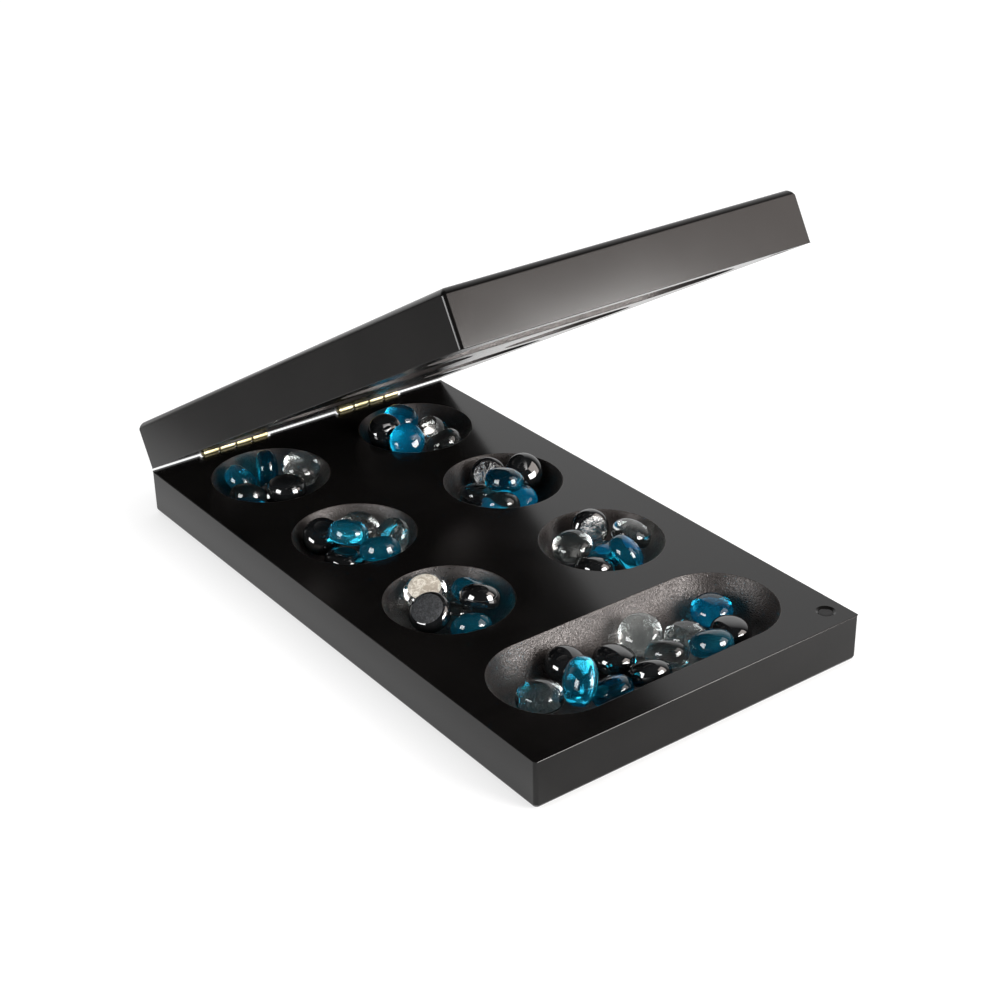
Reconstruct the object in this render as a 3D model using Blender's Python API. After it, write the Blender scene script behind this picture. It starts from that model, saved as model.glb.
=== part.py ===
# Folding mancala board: two hinged halves with dished pits, two brass hinges, magnets and glass stones.
# Metres, +Z up. X runs along the hinges and -Y points away from them. The origin is the middle of the
# bottom half's resting face. The lid is half open, as the object stands.

import math

import bmesh
import bpy
from mathutils import Matrix, Vector
from mathutils.bvhtree import BVHTree

# Halves: two equal blocks of wood, the lid being the bottom half's mirror image
HALF_WIDTH = 0.125
HALF_LENGTH = 0.222
HALF_THICKNESS = 0.0165
FACE_EDGE_ROUND = 0.0008
BACK_EDGE_ROUND = 0.002
CORNER_ROUND = 0.0015
CLOSED_GAP = 0.0008
OPEN_ANGLE = math.radians(30)

# Dishes: three rows of two round pits and one long store, all turned to the same depth
DISH_DEPTH = 0.0116
DISH_FLOOR_RADIUS = 0.0052
STORE_WIDTH = 0.0404
SIDE_MARGIN = 0.0111
COLUMN_GAP = 0.0202
HINGE_END_MARGIN = 0.00835
STORE_END_MARGIN = 0.0109
PIT_ROWS = 3

# Hinges: brass butt hinges let into the ends of both halves
HINGE_LENGTH = 0.0271
HINGE_SIDE_MARGIN = 0.0202
HINGE_STANDOFF = 0.0003
LEAF_THICKNESS = 0.0008
LEAF_REACH = 0.0092
KNUCKLE_RADIUS = 0.00165
KNUCKLE_COUNT = 4
TONGUE_INSET = 0.0002
PIN_RADIUS = 0.00075
BARREL_END_ROOM = 0.0012
SCREW_HOLE_RADIUS = 0.0011
COUNTERSINK_RADIUS = 0.002
SCREW_EDGE_MARGIN = 0.005

# Magnets: one in the store end of each half, a little below the pit face
MAGNET_RADIUS = 0.0027
MAGNET_THICKNESS = 0.0025
MAGNET_SINK = 0.0007
MAGNET_SIDE_MARGIN = 0.0066
MAGNET_END_MARGIN = 0.0078

# Stones: flattened glass drops, domed above and flat below, nearly three to the width of a pit
STONES_ACROSS_PIT = 2.95
STONE_HEIGHT_SHARE = 0.593
STONE_RING_SHARES = ((0.5, 0.0), (0.82, 0.12), (1.0, 0.42), (0.88, 0.75), (0.5, 0.95))

# Clearance between touching pieces, overrun of the cuts, and how finely a stone is let down
FIT = 0.0003
OVERRUN = 0.002
LOWERING_STEP = 0.001
LOWERING_HALVINGS = 7

# Facets
CORNER_SEGMENTS = 3
EDGE_SEGMENTS = 3
DISH_SEGMENTS = 28
DISH_STEPS = 6
KNUCKLE_SEGMENTS = 16
HOLE_SEGMENTS = 12
MAGNET_SEGMENTS = 20
STONE_SEGMENTS = 14
SHARP_ANGLE = math.radians(35)

# Sizes that follow
PIT_DIAMETER = (HALF_WIDTH - 2 * SIDE_MARGIN - COLUMN_GAP) / 2
PIT_RADIUS = PIT_DIAMETER / 2
STORE_RADIUS = STORE_WIDTH / 2
STONE_DIAMETER = PIT_DIAMETER / STONES_ACROSS_PIT
STONE_HEIGHT = STONE_HEIGHT_SHARE * STONE_DIAMETER
COLUMN_X = HALF_WIDTH / 2 - SIDE_MARGIN - PIT_RADIUS
STORE_STRAIGHT = HALF_WIDTH / 2 - SIDE_MARGIN - STORE_RADIUS
ROW_GAP = (
    HALF_LENGTH - HINGE_END_MARGIN - PIT_ROWS * PIT_DIAMETER - STORE_WIDTH - STORE_END_MARGIN
) / PIT_ROWS
HINGE_X = HALF_WIDTH / 2 - HINGE_SIDE_MARGIN - HINGE_LENGTH / 2
HINGE_AXIS = Vector((0, HALF_LENGTH / 2 + HINGE_STANDOFF, HALF_THICKNESS + CLOSED_GAP / 2))
FACE_DROP = CLOSED_GAP / 2
END_FACE_Y = -HINGE_STANDOFF
STORE_END_Y = END_FACE_Y - HALF_LENGTH

# Stones in each dish, lowest first: colour, place across and along as shares of the dish's half sizes,
# tilt in degrees, direction of the tilt in degrees from +X, size share, and whether its flat face is up
PILE_SHARES = {
    "back_left": (
        ("black", -0.02, -0.06, 5, 80, 0.97, False),
        ("teal", 0.20, 0.48, 88, -25, 0.94, False),
        ("teal", -0.33, 0.45, 45, -20, 0.97, False),
        ("clear", -0.58, -0.22, 35, 40, 0.98, False),
        ("clear", 0.59, -0.02, 30, -70, 1.0, False),
        ("black", -0.02, -0.55, 5, 0, 1.0, False),
    ),
    "back_right": (
        ("black", -0.38, 0.30, 25, -45, 0.95, False),
        ("clear", 0.40, 0.01, 40, -60, 0.98, False),
        ("teal", 0.10, 0.60, 15, -60, 0.95, False),
        ("clear", 0.16, -0.62, 34, 110, 0.98, False),
        ("black", -0.60, 0.04, 55, -90, 0.95, False),
        ("teal", -0.48, -0.46, 55, -105, 0.96, False),
    ),
    "mid_left": (
        ("black", -0.33, -0.18, 10, 10, 0.98, False),
        ("clear", 0.34, 0.41, 25, -105, 1.0, False),
        ("black", -0.34, 0.45, 35, -115, 0.97, False),
        ("clear", 0.52, -0.27, 60, 180, 0.98, False),
        ("teal", 0.07, -0.62, 30, 65, 1.0, False),
        ("teal", -0.15, -0.06, 20, 30, 0.97, False),
    ),
    "mid_right": (
        ("teal", 0.12, -0.26, 15, -170, 0.97, False),
        ("clear", -0.39, 0.21, 18, 70, 0.96, False),
        ("black", 0.11, 0.58, 56, -128, 0.95, True),
        ("clear", -0.43, -0.49, 45, 55, 1.0, False),
        ("black", 0.54, 0.13, 50, -105, 0.98, False),
        ("teal", -0.14, -0.21, 20, 40, 1.0, False),
    ),
    "front_left": (
        ("clear", 0.05, -0.02, 40, 50, 0.94, False),
        ("clear", -0.05, 0.57, 20, -135, 1.0, True),
        ("teal", 0.52, 0.14, 30, 0, 0.96, False),
        ("teal", -0.06, -0.64, 45, 65, 0.94, False),
        ("black", -0.44, -0.13, 35, -155, 0.97, True),
        ("black", 0.28, -0.40, 35, 40, 0.94, False),
    ),
    "front_right": (
        ("teal", 0.09, 0.07, 10, 75, 0.97, False),
        ("black", -0.45, -0.37, 35, 45, 0.96, False),
        ("clear", -0.45, 0.20, 12, -150, 0.97, False),
        ("black", 0.21, 0.59, 80, -105, 0.97, True),
        ("teal", 0.11, -0.48, 50, -25, 0.96, False),
        ("clear", 0.58, -0.03, 20, -25, 0.98, False),
    ),
    "store": (
        ("clear", 0.40, 0.05, 0, 0, 0.98, False),
        ("teal", 0.70, 0.30, 5, -130, 1.0, False),
        ("black", 0.62, -0.35, 5, -60, 0.96, False),
        ("clear", -0.70, 0.06, 8, 55, 1.08, False),
        ("black", -0.38, 0.46, 15, -70, 0.98, False),
        ("clear", 0.16, 0.40, 35, -140, 1.0, False),
        ("black", -0.11, 0.17, 10, 0, 1.0, False),
        ("clear", 0.14, -0.28, 40, 50, 1.0, False),
        ("teal", -0.35, -0.50, 25, 105, 0.95, False),
        ("black", -0.09, -0.57, 35, 65, 0.97, False),
        ("teal", 0.38, -0.58, 30, 70, 1.0, False),
        ("teal", -0.54, -0.34, 75, 150, 1.1, False),
    ),
}


def clear_scene():
    for thing in list(bpy.data.objects):
        bpy.data.objects.remove(thing, do_unlink=True)


def make_material(name, colour, roughness, metallic=0.0, transmission=0.0):
    material = bpy.data.materials.new(name)
    material.use_nodes = True
    shader = material.node_tree.nodes["Principled BSDF"]
    shader.inputs["Base Color"].default_value = (*colour, 1.0)
    shader.inputs["Roughness"].default_value = roughness
    shader.inputs["Metallic"].default_value = metallic
    shader.inputs["Transmission Weight"].default_value = transmission
    material.diffuse_color = (*colour, 1.0)
    return material


def add_carrier(name, place, turn=0.0):
    """An empty that carries the pieces of one moving group."""
    carrier = bpy.data.objects.new(name, None)
    carrier.location = place
    carrier.rotation_euler.x = turn
    bpy.context.scene.collection.objects.link(carrier)
    return carrier


def add_object(name, shape, carrier, material=None):
    """Turns a bmesh into an object on its carrier, with its faces pointing out and shaded smooth."""
    bmesh.ops.recalc_face_normals(shape, faces=shape.faces)
    mesh = bpy.data.meshes.new(name)
    shape.to_mesh(mesh)
    shape.free()
    mesh.shade_smooth()
    mesh.set_sharp_from_angle(angle=SHARP_ANGLE)
    thing = bpy.data.objects.new(name, mesh)
    thing.parent = carrier
    bpy.context.scene.collection.objects.link(thing)
    if material:
        mesh.materials.append(material)
    return thing


def add_helper(name, shape, carrier):
    """A shape that only cuts or joins others, hidden from the render."""
    helper = add_object(name, shape, carrier)
    helper.hide_render = True
    helper.display_type = "WIRE"
    return helper


def combine(thing, helper, operation):
    boolean = thing.modifiers.new(helper.name, "BOOLEAN")
    boolean.operation = operation
    boolean.object = helper


def loft(shape, sections):
    """Skins a closed solid over sections that all have the same number of points."""
    rings = [[shape.verts.new(point) for point in section] for section in sections]
    count = len(rings[0])
    for low, high in zip(rings, rings[1:]):
        for i in range(count):
            j = (i + 1) % count
            shape.faces.new((low[i], low[j], high[j], high[i]))
    shape.faces.new(rings[0])
    shape.faces.new(rings[-1])


def box(shape, low, high):
    bottom = [(low[0], low[1]), (high[0], low[1]), (high[0], high[1]), (low[0], high[1])]
    loft(shape, [[(x, y, z) for x, y in bottom] for z in (low[2], high[2])])


def round_bar(shape, radii, stations, centre, segments, axis):
    """A turned bar along X, Y or Z, with one radius at each station along its axis."""
    first, second = [i for i in range(len("XYZ")) if i != axis]
    sections = []
    for radius, station in zip(radii, stations):
        section = []
        for i in range(segments):
            angle = math.tau * i / segments
            point = [0.0, 0.0, 0.0]
            point[axis] = station
            point[first] = centre[0] + radius * math.cos(angle)
            point[second] = centre[1] + radius * math.sin(angle)
            section.append(tuple(point))
        sections.append(section)
    loft(shape, sections)


def rounded_rectangle(half_x, half_y, radius):
    corners = ((1, 1), (-1, 1), (-1, -1), (1, -1))
    points = []
    for quarter, (across, along) in enumerate(corners):
        for step in range(CORNER_SEGMENTS + 1):
            angle = math.tau / 4 * (quarter + step / CORNER_SEGMENTS)
            x = across * (half_x - radius) + radius * math.cos(angle)
            y = along * (half_y - radius) + radius * math.sin(angle)
            points.append((x, y))
    return points


def edge_steps(radius):
    """Inset and height of each step round an edge, from the flat face down to the side."""
    angles = [math.tau / 4 * step / EDGE_SEGMENTS for step in range(EDGE_SEGMENTS + 1)]
    return [(radius * (1 - math.sin(a)), radius * (1 - math.cos(a))) for a in angles]


def half_block(side):
    """The plain block with rounded edges. Side is 1 for the bottom half and -1 for the lid."""
    top = -FACE_DROP
    bottom = -FACE_DROP - HALF_THICKNESS
    levels = [(inset, top - height) for inset, height in edge_steps(FACE_EDGE_ROUND)]
    levels += [(inset, bottom + height) for inset, height in reversed(edge_steps(BACK_EDGE_ROUND))]
    middle_y = END_FACE_Y - HALF_LENGTH / 2
    shape = bmesh.new()
    sections = []
    for inset, z in levels:
        outline = rounded_rectangle(HALF_WIDTH / 2 - inset, HALF_LENGTH / 2 - inset, CORNER_ROUND)
        sections.append([(x, middle_y + y, side * z) for x, y in outline])
    loft(shape, sections)
    return shape


def dish_steps(rim_radius):
    """Radius and depth of each step of a dish, from its rim down a curved wall to its flat floor."""
    reach = rim_radius - DISH_FLOOR_RADIUS
    sweep = 2 * math.atan(DISH_DEPTH / reach)
    wall_radius = reach / math.sin(sweep)
    steps = []
    for step in range(DISH_STEPS + 1):
        angle = sweep * (1 - step / DISH_STEPS)
        radius = DISH_FLOOR_RADIUS + wall_radius * math.sin(angle)
        steps.append((radius, DISH_DEPTH - wall_radius * (1 - math.cos(angle))))
    return steps


def dish_outline(radius, straight):
    """A circle, or two half circles drawn apart when the dish has a straight stretch."""
    points = []
    for end in (1, -1):
        first = 0 if straight else 1
        for step in range(first, DISH_SEGMENTS // 2 + 1):
            angle = math.pi * step / (DISH_SEGMENTS // 2) - math.pi / 2
            points.append((end * (straight + radius * math.cos(angle)), end * radius * math.sin(angle)))
    return points


def dish(shape, side, centre_y, centre_x, rim_radius, straight):
    levels = [(rim_radius, -OVERRUN)] + dish_steps(rim_radius)
    sections = []
    for radius, depth in levels:
        outline = dish_outline(radius, straight)
        z = side * (-FACE_DROP - depth)
        sections.append([(centre_x + x, centre_y + y, z) for x, y in outline])
    loft(shape, sections)


def row_y(row):
    return END_FACE_Y - HINGE_END_MARGIN - PIT_RADIUS - row * (PIT_DIAMETER + ROW_GAP)


def store_y():
    return STORE_END_Y + STORE_END_MARGIN + STORE_RADIUS


def dish_cutter(side):
    shape = bmesh.new()
    for row in range(PIT_ROWS):
        for across in (-1, 1):
            dish(shape, side, row_y(row), across * COLUMN_X, PIT_RADIUS, 0)
    dish(shape, side, store_y(), 0, STORE_RADIUS, STORE_STRAIGHT)
    return shape


def leaf_seat_cutter(side):
    """The shallow pockets in the end face that take the hinge leaves."""
    shape = bmesh.new()
    half = HINGE_LENGTH / 2 + FIT
    heights = sorted((side * -(LEAF_REACH + FIT), side * (OVERRUN - FACE_DROP)))
    for across in (-1, 1):
        low = (across * HINGE_X - half, END_FACE_Y - LEAF_THICKNESS - FIT, heights[0])
        high = (across * HINGE_X + half, END_FACE_Y + OVERRUN, heights[1])
        box(shape, low, high)
    return shape


def barrel_seat_cutter(side):
    """The notches along the hinge edge that take the barrels, a little longer than they are."""
    shape = bmesh.new()
    half = HINGE_LENGTH / 2 + BARREL_END_ROOM
    room = KNUCKLE_RADIUS + FIT
    heights = sorted((side * -room, side * OVERRUN))
    for across in (-1, 1):
        low = (across * HINGE_X - half, -room, heights[0])
        high = (across * HINGE_X + half, END_FACE_Y + OVERRUN, heights[1])
        box(shape, low, high)
    return shape


def magnet_place():
    return (HALF_WIDTH / 2 - MAGNET_SIDE_MARGIN, STORE_END_Y + MAGNET_END_MARGIN)


def magnet_cutter(side):
    shape = bmesh.new()
    radius = MAGNET_RADIUS + FIT
    floor = FACE_DROP + MAGNET_SINK + MAGNET_THICKNESS + FIT
    stations = (side * (OVERRUN - FACE_DROP), side * -floor)
    round_bar(shape, (radius, radius), stations, magnet_place(), MAGNET_SEGMENTS, 2)
    return shape


def make_half(name, side, carrier, lacquer):
    half = add_object(name + "_board", half_block(side), carrier, lacquer)
    cutters = (
        ("_dish_cutter", dish_cutter),
        ("_leaf_seat_cutter", leaf_seat_cutter),
        ("_barrel_seat_cutter", barrel_seat_cutter),
        ("_magnet_cutter", magnet_cutter),
    )
    for ending, shape_of in cutters:
        combine(half, add_helper(name + ending, shape_of(side), carrier), "DIFFERENCE")
    return half


def make_magnet(name, side, carrier, lacquer):
    shape = bmesh.new()
    top = FACE_DROP + MAGNET_SINK
    stations = (side * -top, side * -(top + MAGNET_THICKNESS))
    radii = (MAGNET_RADIUS, MAGNET_RADIUS)
    round_bar(shape, radii, stations, magnet_place(), MAGNET_SEGMENTS, 2)
    return add_object(name + "_magnet", shape, carrier, lacquer)


def knuckle_span(centre_x, place):
    """Start and end along X of one knuckle of the barrel, counted from the left."""
    pitch = HINGE_LENGTH / KNUCKLE_COUNT
    start = centre_x - HINGE_LENGTH / 2 + place * pitch
    return (start + FIT / 2, start + pitch - FIT / 2)


def leaf_outline(centre_x, own, side):
    """The leaf seen square on: a plate whose upper edge rises in a tongue under each of its knuckles."""
    left = knuckle_span(centre_x, 0)[0]
    right = knuckle_span(centre_x, KNUCKLE_COUNT - 1)[1]
    shoulder = -(KNUCKLE_RADIUS + FIT)
    points = [(right, -LEAF_REACH), (left, -LEAF_REACH), (left, shoulder)]
    for place in own:
        start, end = knuckle_span(centre_x, place)
        start += TONGUE_INSET
        end -= TONGUE_INSET
        points += [(start, shoulder), (start, 0.0), (end, 0.0), (end, shoulder)]
    points.append((right, shoulder))
    return [(x, side * z) for x, z in points]


def make_leaf(name, side, centre_x, own, carrier, brass):
    outline = leaf_outline(centre_x, own, side)
    faces_y = (END_FACE_Y - LEAF_THICKNESS, END_FACE_Y)
    shape = bmesh.new()
    loft(shape, [[(x, y, z) for x, z in outline] for y in faces_y])
    leaf = add_object(name + "_leaf", shape, carrier, brass)

    knuckles = bmesh.new()
    for place in own:
        radii = (KNUCKLE_RADIUS, KNUCKLE_RADIUS)
        round_bar(knuckles, radii, knuckle_span(centre_x, place), (0, 0), KNUCKLE_SEGMENTS, 0)
    combine(leaf, add_helper(name + "_knuckles", knuckles, carrier), "UNION")

    bore = bmesh.new()
    radius = PIN_RADIUS + FIT
    half = HINGE_LENGTH / 2 + OVERRUN
    round_bar(bore, (radius, radius), (centre_x - half, centre_x + half), (0, 0), KNUCKLE_SEGMENTS, 0)
    combine(leaf, add_helper(name + "_bore_cutter", bore, carrier), "DIFFERENCE")

    holes = bmesh.new()
    slope = (COUNTERSINK_RADIUS - SCREW_HOLE_RADIUS) / LEAF_THICKNESS
    radii = (SCREW_HOLE_RADIUS, SCREW_HOLE_RADIUS, COUNTERSINK_RADIUS + slope * OVERRUN)
    stations = (faces_y[0] - OVERRUN, faces_y[0], faces_y[1] + OVERRUN)
    middle_z = side * -(KNUCKLE_RADIUS + FIT + LEAF_REACH) / 2
    for across in (-1, 1):
        hole_x = centre_x + across * (HINGE_LENGTH / 2 - SCREW_EDGE_MARGIN)
        round_bar(holes, radii, stations, (hole_x, middle_z), HOLE_SEGMENTS, 1)
    combine(leaf, add_helper(name + "_screw_hole_cutter", holes, carrier), "DIFFERENCE")
    return leaf


def make_pin(name, centre_x, carrier, brass):
    shape = bmesh.new()
    half = HINGE_LENGTH / 2 - FIT / 2
    radii = (PIN_RADIUS, PIN_RADIUS)
    round_bar(shape, radii, (centre_x - half, centre_x + half), (0, 0), KNUCKLE_SEGMENTS, 0)
    return add_object(name + "_pin", shape, carrier, brass)


def make_hinge(name, centre_x, base_carrier, lid_carrier, brass):
    base_knuckles = range(0, KNUCKLE_COUNT, 2)
    lid_knuckles = range(1, KNUCKLE_COUNT, 2)
    make_leaf(name + "_base", 1, centre_x, base_knuckles, base_carrier, brass)
    make_leaf(name + "_lid", -1, centre_x, lid_knuckles, lid_carrier, brass)
    make_pin(name, centre_x, base_carrier, brass)


def stone_shape(diameter, height, margin):
    """A turned drop: flat foot, full belly low down and a domed top, grown by a margin all round."""
    shape = bmesh.new()
    sections = []
    for radius_share, height_share in STONE_RING_SHARES:
        radius = radius_share * diameter / 2 + margin
        z = (height_share - 0.5) * (height + 2 * margin)
        section = []
        for i in range(STONE_SEGMENTS):
            angle = math.tau * i / STONE_SEGMENTS
            section.append(shape.verts.new((radius * math.cos(angle), radius * math.sin(angle), z)))
        sections.append(section)
    for low, high in zip(sections, sections[1:]):
        for i in range(STONE_SEGMENTS):
            j = (i + 1) % STONE_SEGMENTS
            shape.faces.new((low[i], low[j], high[j], high[i]))
    crown = shape.verts.new((0, 0, height / 2 + margin))
    for i in range(STONE_SEGMENTS):
        shape.faces.new((sections[-1][i], sections[-1][(i + 1) % STONE_SEGMENTS], crown))
    shape.faces.new(sections[0])
    return shape


def stone_turn(tilt, toward, flat_up):
    """Leans a stone's axis over, or turns it upside down as well."""
    heading = math.radians(toward)
    lean = math.radians(tilt) + (math.pi if flat_up else 0)
    return Matrix.Rotation(lean, 4, Vector((-math.sin(heading), math.cos(heading), 0)))


def shape_tree(points, faces, place):
    return BVHTree.FromPolygons([place @ point for point in points], faces)


def lowered_height(shape, turn, plan, obstacles):
    """The height at which a stone that is let down over its place first meets what lies under it."""
    points = [vertex.co.copy() for vertex in shape.verts]
    faces = [[vertex.index for vertex in face.verts] for face in shape.faces]

    def meets(height):
        tree = shape_tree(points, faces, Matrix.Translation((plan.x, plan.y, height)) @ turn)
        return any(tree.overlap(other) for other in obstacles)

    free = HALF_THICKNESS + 2 * STONE_DIAMETER
    while free > 0 and not meets(free - LOWERING_STEP):
        free -= LOWERING_STEP
    step = LOWERING_STEP
    for _ in range(LOWERING_HALVINGS):
        step /= 2
        if not meets(free - step):
            free -= step
    return free


def evaluated_tree(thing):
    bpy.context.view_layer.update()
    graph = bpy.context.evaluated_depsgraph_get()
    mesh = thing.evaluated_get(graph).to_mesh()
    points = [vertex.co.copy() for vertex in mesh.vertices]
    faces = [tuple(polygon.vertices) for polygon in mesh.polygons]
    return shape_tree(points, faces, thing.matrix_world)


def make_pile(dish_name, centre, half_x, half_y, board_tree, materials):
    """Fills one dish, letting each stone down onto the dish and the stones already in it."""
    carrier = add_carrier(dish_name + "_stones", centre)
    obstacles = [board_tree]
    made = {colour: 0 for colour in materials}
    for colour, across, along, tilt, toward, size, flat_up in PILE_SHARES[dish_name]:
        diameter = size * STONE_DIAMETER
        height = size * STONE_HEIGHT
        turn = stone_turn(tilt, toward, flat_up)
        plan = centre + Vector((across * half_x, along * half_y, 0))
        grown = stone_shape(diameter, height, FIT)
        grown.verts.index_update()
        rest = lowered_height(grown, turn, plan, obstacles)
        grown.free()
        made[colour] += 1
        name = f"{dish_name}_{colour}_stone_{made[colour]}"
        stone = add_object(name, stone_shape(diameter, height, 0), carrier, materials[colour])
        stone.location = Vector((plan.x, plan.y, rest)) - centre
        stone.rotation_euler = turn.to_euler()
        obstacles.append(evaluated_tree(stone))


def build():
    clear_scene()
    lacquer = make_material("black_lacquer", (0.012, 0.011, 0.011), 0.3)
    magnet_lacquer = make_material("magnet_lacquer", (0.02, 0.019, 0.019), 0.35)
    brass = make_material("brass", (0.78, 0.57, 0.24), 0.25, metallic=1.0)
    glass = {
        "teal": make_material("teal_glass", (0.02, 0.42, 0.55), 0.03, transmission=1.0),
        "clear": make_material("clear_glass", (0.92, 0.97, 0.96), 0.03, transmission=1.0),
        "black": make_material("black_glass", (0.01, 0.012, 0.02), 0.05),
    }

    base_carrier = add_carrier("base_frame", HINGE_AXIS)
    lid_carrier = add_carrier("lid_axis", HINGE_AXIS, -OPEN_ANGLE)
    base = make_half("base", 1, base_carrier, lacquer)
    make_half("lid", -1, lid_carrier, lacquer)
    make_magnet("base", 1, base_carrier, magnet_lacquer)
    make_magnet("lid", -1, lid_carrier, magnet_lacquer)
    make_hinge("left_hinge", -HINGE_X, base_carrier, lid_carrier, brass)
    make_hinge("right_hinge", HINGE_X, base_carrier, lid_carrier, brass)

    board_tree = evaluated_tree(base)
    for row, row_name in enumerate(("back", "mid", "front")):
        for across, side_name in ((-1, "left"), (1, "right")):
            centre = Vector((across * COLUMN_X, HINGE_AXIS.y + row_y(row), HALF_THICKNESS))
            make_pile(row_name + "_" + side_name, centre, PIT_RADIUS, PIT_RADIUS, board_tree, glass)
    centre = Vector((0, HINGE_AXIS.y + store_y(), HALF_THICKNESS))
    make_pile("store", centre, STORE_STRAIGHT + STORE_RADIUS, STORE_RADIUS, board_tree, glass)


build()
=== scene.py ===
# Dresses the folding mancala board for its picture: two black lacquered halves on brass butt hinges, a magnet
# in each, and glass stones in the dishes. Metres, +Z up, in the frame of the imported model.

import math

import bmesh
import bpy
import numpy as np
from mathutils import Matrix, Vector


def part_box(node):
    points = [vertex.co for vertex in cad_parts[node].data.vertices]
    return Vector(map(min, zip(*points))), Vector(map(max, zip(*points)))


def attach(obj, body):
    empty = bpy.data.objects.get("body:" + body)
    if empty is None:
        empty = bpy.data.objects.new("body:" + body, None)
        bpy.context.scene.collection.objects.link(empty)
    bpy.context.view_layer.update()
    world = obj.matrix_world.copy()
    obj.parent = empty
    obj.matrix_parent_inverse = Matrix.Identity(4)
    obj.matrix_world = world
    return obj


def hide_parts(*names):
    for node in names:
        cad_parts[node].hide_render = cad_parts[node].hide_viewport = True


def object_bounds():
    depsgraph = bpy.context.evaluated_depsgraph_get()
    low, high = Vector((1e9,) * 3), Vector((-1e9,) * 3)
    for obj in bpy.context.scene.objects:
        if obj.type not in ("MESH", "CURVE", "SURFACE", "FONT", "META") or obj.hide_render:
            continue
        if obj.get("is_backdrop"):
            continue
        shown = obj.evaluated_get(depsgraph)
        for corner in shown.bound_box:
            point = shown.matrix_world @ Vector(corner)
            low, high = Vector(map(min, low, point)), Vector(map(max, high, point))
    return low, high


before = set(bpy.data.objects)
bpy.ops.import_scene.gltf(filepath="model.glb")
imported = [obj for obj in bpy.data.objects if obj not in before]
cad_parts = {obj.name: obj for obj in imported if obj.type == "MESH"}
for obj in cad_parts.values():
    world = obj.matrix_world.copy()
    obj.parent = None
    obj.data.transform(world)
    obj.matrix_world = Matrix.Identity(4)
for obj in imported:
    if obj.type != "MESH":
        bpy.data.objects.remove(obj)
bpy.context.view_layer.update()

# ---------------------------------------------------------------------------------------------------------
# Bottom half. A block of hardwood, turned and routed from above: six round dishes in three rows and a long
# store across the far end, then sanded, its edges eased, and sprayed black. The spray lies smooth on the flat
# faces and pebbles like orange peel in the dishes. Its hinge end is let in for the leaves and their barrels.
# ---------------------------------------------------------------------------------------------------------

board_low, board_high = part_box("base_board")
PIT_FACE = board_high.z
HINGE_END = board_high.y

# The round along the edges of the back, and the share of it that the other edges get.
BACK_ROUND = 0.002
FACE_ROUND_SHARE = 0.125
HINGE_EDGE_SHARE = 0.03
CORNER_ROUND_SHARE = 0.6
EDGE_SEGMENTS = 5
EDGE_PROFILE = 0.4
EDGE_REACH = 0.001

PIT_RADIUS = 0.02065
PIT_ACROSS = 0.03075
PIT_ROWS_Y = (0.082, 0.02805, -0.0259)
STORE_RADIUS = 0.0202
STORE_STRAIGHT = 0.0312
STORE_Y = -0.0799
DISH_DEPTH = 0.0116
DISH_FLOOR = 0.0052
DISH_VERTICES = 112
WALL_STEPS = 15
# The eased lip of a dish: how far outside the dish's radius, and how far below the pit face.
LIP = ((0.0003, 0.0), (0.00014, 0.00003), (0.00004, 0.00011), (-0.00004, 0.00026))

# How far a cutter runs on past the wood that it cuts.
OVERRUN = 0.002
WELD = 0.000001
# Corners that are no further apart than this lie in one plane.
SAME_PLACE = 1e-6
# A face lies square to an axis if its normal's part along that axis is more than this.
SQUARE_ON = 0.99
ROUND_VERTICES = 64
SMOOTH_BELOW_ANGLE = 38
EVEN_SHADING_WEIGHT = 60


def select_none():
    bpy.ops.object.select_all(action="DESELECT")


def select_only(thing):
    select_none()
    thing.select_set(True)
    bpy.context.view_layer.objects.active = thing


def name_it(name):
    """Names the piece just added, and applies its place, turn and size to its mesh."""
    thing = bpy.context.object
    thing.name = thing.data.name = name
    bpy.ops.object.transform_apply(location=True, rotation=True, scale=True)
    return thing


def add_block(name, low, high):
    """A cube stretched between two corners."""
    select_none()
    low, high = Vector(low), Vector(high)
    bpy.ops.mesh.primitive_cube_add(size=1, location=(low + high) / 2, scale=high - low)
    return name_it(name)


def add_bar(name, centre, radius, length, axis="Z", vertices=ROUND_VERTICES):
    """A round bar about a centre, along X, Y or Z."""
    select_none()
    turn = {"X": (0, math.pi / 2, 0), "Y": (math.pi / 2, 0, 0), "Z": (0, 0, 0)}[axis]
    bpy.ops.mesh.primitive_cylinder_add(
        vertices=vertices, radius=radius, depth=length, location=centre, rotation=turn
    )
    return name_it(name)


def pick(thing, kind, chosen):
    """Goes into edit mode and selects the corners, edges or faces that a test chooses."""
    if bpy.context.mode != "EDIT_MESH":
        select_only(thing)
        bpy.ops.object.mode_set(mode="EDIT")
    bpy.ops.mesh.select_mode(type=kind)
    bpy.ops.mesh.select_all(action="DESELECT")
    shape = bmesh.from_edit_mesh(thing.data)
    for element in {"VERT": shape.verts, "EDGE": shape.edges, "FACE": shape.faces}[kind]:
        element.select_set(bool(chosen(element)))
    shape.select_flush_mode()
    bmesh.update_edit_mesh(thing.data)


def leave():
    if bpy.context.mode != "OBJECT":
        bpy.ops.object.mode_set(mode="OBJECT")


def tidy_normals(thing):
    """Welds the points that a cut or a mirroring left apart, and turns every face outward."""
    pick(thing, "VERT", lambda v: True)
    bpy.ops.mesh.remove_doubles(threshold=WELD)
    bpy.ops.mesh.normals_make_consistent(inside=False)
    leave()


def combine(thing, tools, operation):
    """Cuts with the tools, or welds them on, one after another, and clears them away."""
    for tool in tools:
        select_only(thing)
        boolean = thing.modifiers.new(tool.name, "BOOLEAN")
        boolean.operation = operation
        boolean.solver = "EXACT"
        boolean.object = tool
        boolean.material_mode = "TRANSFER"
        bpy.ops.object.modifier_apply(modifier=boolean.name)
        bpy.data.objects.remove(tool)


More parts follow.
